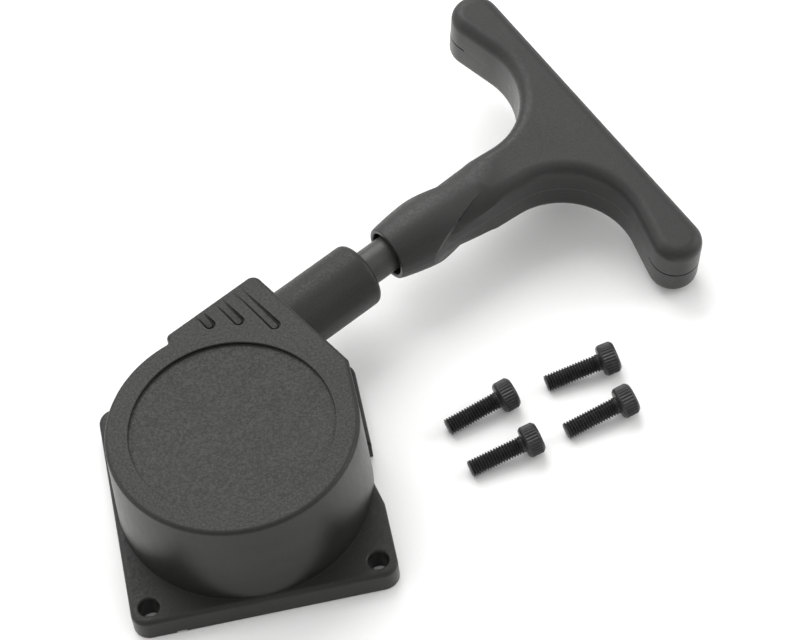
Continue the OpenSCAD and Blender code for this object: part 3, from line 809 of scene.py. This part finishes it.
def cap_screw(place, number):
    """M3 x 10 socket cap screw: threaded shank, knurled head with chamfered rims, hexagon socket."""
    length, top, segments = SCREW_LENGTH, SCREW_LENGTH + HEAD_H, 192
    ring = [math.tau * i / segments for i in range(segments)]

    def circle(r, z):
        return [(r * math.cos(t), r * math.sin(t), z) for t in ring]

    def thread(z, fade):
        depth = THREAD_DEPTH * fade
        rows = []
        for t in ring:
            phase = (z / THREAD_PITCH - t / math.tau) % 1
            crest = abs(2 * phase - 1)
            r = SHANK_R - depth * (1 - min(1, max(0, (crest - THREAD_CREST) / THREAD_FLANK)))
            rows.append((r * math.cos(t), r * math.sin(t), z))
        return rows

    def knurl(z):
        radii = [HEAD_R - KNURL_DEPTH * abs(math.sin(KNURL_TEETH * t / 2)) ** 1.5 for t in ring]
        return [(r * math.cos(t), r * math.sin(t), z) for r, t in zip(radii, ring)]

    rings = [circle(0.9, 0), circle(1.12, 0), circle(1.2, 0.08)]
    steps = int(length / THREAD_PITCH * 10)
    for i in range(3, steps - 2):
        z = length * i / steps
        run_out = (length - z) / THREAD_RUN_OUT if z > length - THREAD_RUN_OUT else 1
        rings.append(thread(z, max(0, min(1, z / THREAD_RUN_IN, run_out))))
    rings += [circle(SHANK_R, length - 0.12), circle(SHANK_R + 0.12, length), circle(HEAD_R - 0.42, length)]
    rings += [circle(HEAD_R - 0.34, length + 0.02), circle(HEAD_R - 0.08, length + 0.3)]
    rings += [circle(HEAD_R - 0.03, length + 0.42)]
    rings += [knurl(z) for z in (length + 0.5, length + 0.52, top - 0.6, top - 0.58)]
    rings += [circle(HEAD_R - 0.05, top - 0.5), circle(HEAD_R - 0.1, top - 0.38)]
    rings += [circle(HEAD_R - 0.42, top - 0.03), circle(HEAD_R - 0.5, top), circle(1.75, top)]
    hex_r = HEX_FLATS / math.sqrt(3)
    rings += [hex_socket_ring(hex_r + 0.12, top, segments), hex_socket_ring(hex_r, top - 0.12, segments)]
    rings += [hex_socket_ring(hex_r, top - HEX_DEPTH, segments)]
    rings += [circle(0.9, top - 1.4), circle(0.1, top - 1.75)]
    tilt = math.degrees(math.atan((HEAD_R - SHANK_R) / length))
    x, y, way = place
    lie = moved(x, y, SHANK_R * math.cos(math.radians(tilt))) @ turned(way, "Z") @ turned(90 - tilt, "Y")
    return loft(rings, lie @ turned(number * SCREW_TURN, "Z"))


# Rope

def braid_ring(length, along):
    """One ring of a braid of true lay, for a place that is length along the rope."""
    segments = 32
    twist = length / BRAID_PITCH * math.tau
    ring = []
    for k in range(segments):
        t = math.tau * k / segments
        lay = max(math.cos(BRAID_STRANDS / 2 * t + twist), math.cos(BRAID_STRANDS / 2 * t - twist))
        r = ROPE_R * (0.95 + 0.05 * lay)
        ring.append((r * math.cos(t), r * math.sin(t), along))
    return ring


def rope_run():
    """Braided rope from the reel into the handle.

    At rest its strands are packed close inside the tube. They lie at their true pitch at full pull.
    """
    start, end, ring_step = 0.2, MOUTH + SOCKET_DEPTH - 0.1, 0.42

    def drawn(along):
        share = min(1, max(0, (along - ROPE_HELD) / (ROPE_PULLED - ROPE_HELD)))
        return along - start + travel * share * share * (3 - 2 * share)

    def along_at(length):
        low, high = start, end
        for _ in range(40):
            middle = (low + high) / 2
            low, high = (middle, high) if drawn(middle) < length else (low, middle)
        return (low + high) / 2

    count = int(drawn(end) / ring_step)
    lengths = [drawn(end) * i / count for i in range(count + 1)]
    return loft([braid_ring(length, along_at(length)) for length in lengths], on_rope(0))


def rope_knot():
    """The rope's end inside the handle: through the bore and the washer to a knot with a short tail."""
    start, seat, ring_step = SOCKET_DEPTH - 1.0, KNOT_SEAT + KNOT_WASHER_T, 0.2
    end = seat + 2 * KNOT_R + 1.0
    rings = []
    count = int((end - start) / ring_step)
    for i in range(count + 1):
        along = start + (end - start) * i / count
        swell = max(0, 1 - ((along - seat - KNOT_R) / KNOT_R) ** 2) ** 0.5
        grow = 1 + (KNOT_R / ROPE_R - 1) * swell
        turn = 0.16 * swell * math.sin(along * 2.6)
        rings.append([(x * (grow + turn), y * (grow - turn), z) for x, y, z in braid_ring(along, along)])
    return loft(rings, in_handle @ turned(90, "Y"))


# Finishes and pieces

slot_of_node = {s["node"]: s["material_slot"] for s in frame["record"]["subparts"]}
finishes = {
    "case_nylon": case_nylon, "handle_nylon": handle_nylon, "guide_plastic": guide_acetal,
    "black_oxide_steel": oxide, "plated_steel": zinc, "spring_steel": blued_strip,
    "bearing_steel": ground_steel, "cage_nylon": cage_plastic, "white_nylon": white_nylon, "cord": cord,
}
for name, node in frame["nodes"].items():
    node.data.materials.clear()
    node.data.materials.append(finishes[slot_of_node[name]])

piece(case(), "case_moulding", "housing", case_nylon, ["case"])
piece(rope_guide(), "rope_guide_sleeve", "housing", guide_acetal, ["rope_guide"])
upper_shell, lower_shell = handle_shells()
piece(upper_shell, "handle_shell_upper", "handle", handle_nylon, ["handle_upper"])
piece(lower_shell, "handle_shell_lower", "handle", handle_nylon, ["handle_lower"])
for number, place in enumerate(CAP_SCREWS, 1):
    screw = cap_screw(place, number)
    nodes = [f"cap_screw_{number}"]
    piece(screw, f"socket_screw_{number}", "housing", oxide, nodes, SCREW_SMOOTH_ANGLE)
piece(rope_knot(), "rope_knot", "handle", cord, ["rope_lead"])
rope = piece(rope_run(), "rope_run", None, cord)


# Studio

def floor():
    bm = bmesh.new()
    corners = [(-1, -1), (1, -1), (1, 1), (-1, 1)]
    bm.faces.new([bm.verts.new((x * FLOOR_HALF, y * FLOOR_HALF, FLOOR_Z)) for x, y in corners])
    mesh = bpy.data.meshes.new("floor")
    bm.to_mesh(mesh)
    bm.free()
    made = bpy.data.objects.new("floor", mesh)
    bpy.context.scene.collection.objects.link(made)
    made.data.materials.append(paper_floor())


def sky():
    """Pale surroundings that are lighter above and behind the object than in front of it."""
    world = bpy.data.worlds.new("studio")
    bpy.context.scene.world = world
    world.use_nodes = True
    tree = world.node_tree
    way = tree.nodes.new("ShaderNodeTexCoord").outputs["Generated"]
    parts = tree.nodes.new("ShaderNodeSeparateXYZ")
    blend = tree.nodes.new("ShaderNodeMapRange")
    height = tree.nodes.new("ShaderNodeMath")
    height.operation = "MULTIPLY_ADD"
    height.inputs[1].default_value = WORLD_TILT
    for socket, number in WORLD_BLEND:
        blend.inputs[socket].default_value = number
    tree.links.new(way, parts.inputs["Vector"])
    tree.links.new(parts.outputs["Y"], height.inputs[0])
    tree.links.new(parts.outputs["Z"], height.inputs[2])
    tree.links.new(height.outputs[0], blend.inputs["Value"])
    tree.links.new(blend.outputs["Result"], tree.nodes["Background"].inputs["Color"])
    tree.nodes["Background"].inputs["Strength"].default_value = WORLD_STRENGTH


def lamps():
    for name, place, side, power in LAMPS:
        lamp = bpy.data.lights.new(name, "AREA")
        lamp.shape = "RECTANGLE"
        lamp.size = lamp.size_y = side
        lamp.energy = power
        holder = bpy.data.objects.new(name, lamp)
        holder.location = place
        holder.rotation_euler = (Vector(LAMP_AIM) - Vector(place)).to_track_quat("-Z", "Y").to_euler()
        bpy.context.scene.collection.objects.link(holder)


def camera():
    """Camera at the photograph's viewing angle."""
    azimuth, elevation, roll = (math.radians(a) for a in (CAMERA_AZIMUTH, CAMERA_ELEVATION, CAMERA_ROLL))
    back = Vector((
        math.sin(azimuth) * math.cos(elevation),
        -math.cos(azimuth) * math.cos(elevation),
        math.sin(elevation),
    ))
    right = (-back).cross(Z_AXIS).normalized()
    up = back.cross(right)
    turned_right = right * math.cos(roll) + up * math.sin(roll)
    turned_up = up * math.cos(roll) - right * math.sin(roll)
    data = bpy.data.cameras.new("camera")
    data.sensor_width = CAMERA_SENSOR
    data.lens = CAMERA_LENS
    data.clip_start = CAMERA_CLIP * MM
    holder = bpy.data.objects.new("camera", data)
    axes = Matrix((turned_right, turned_up, back)).transposed().to_4x4()
    place = Vector(CAMERA_TARGET) * MM + back * (CAMERA_DISTANCE * MM)
    holder.matrix_world = Matrix.Translation(place) @ axes
    bpy.context.scene.collection.objects.link(holder)
    bpy.context.scene.camera = holder


floor()
sky()
lamps()
camera()
bpy.context.scene.view_settings.view_transform = "Standard"
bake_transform(rope)
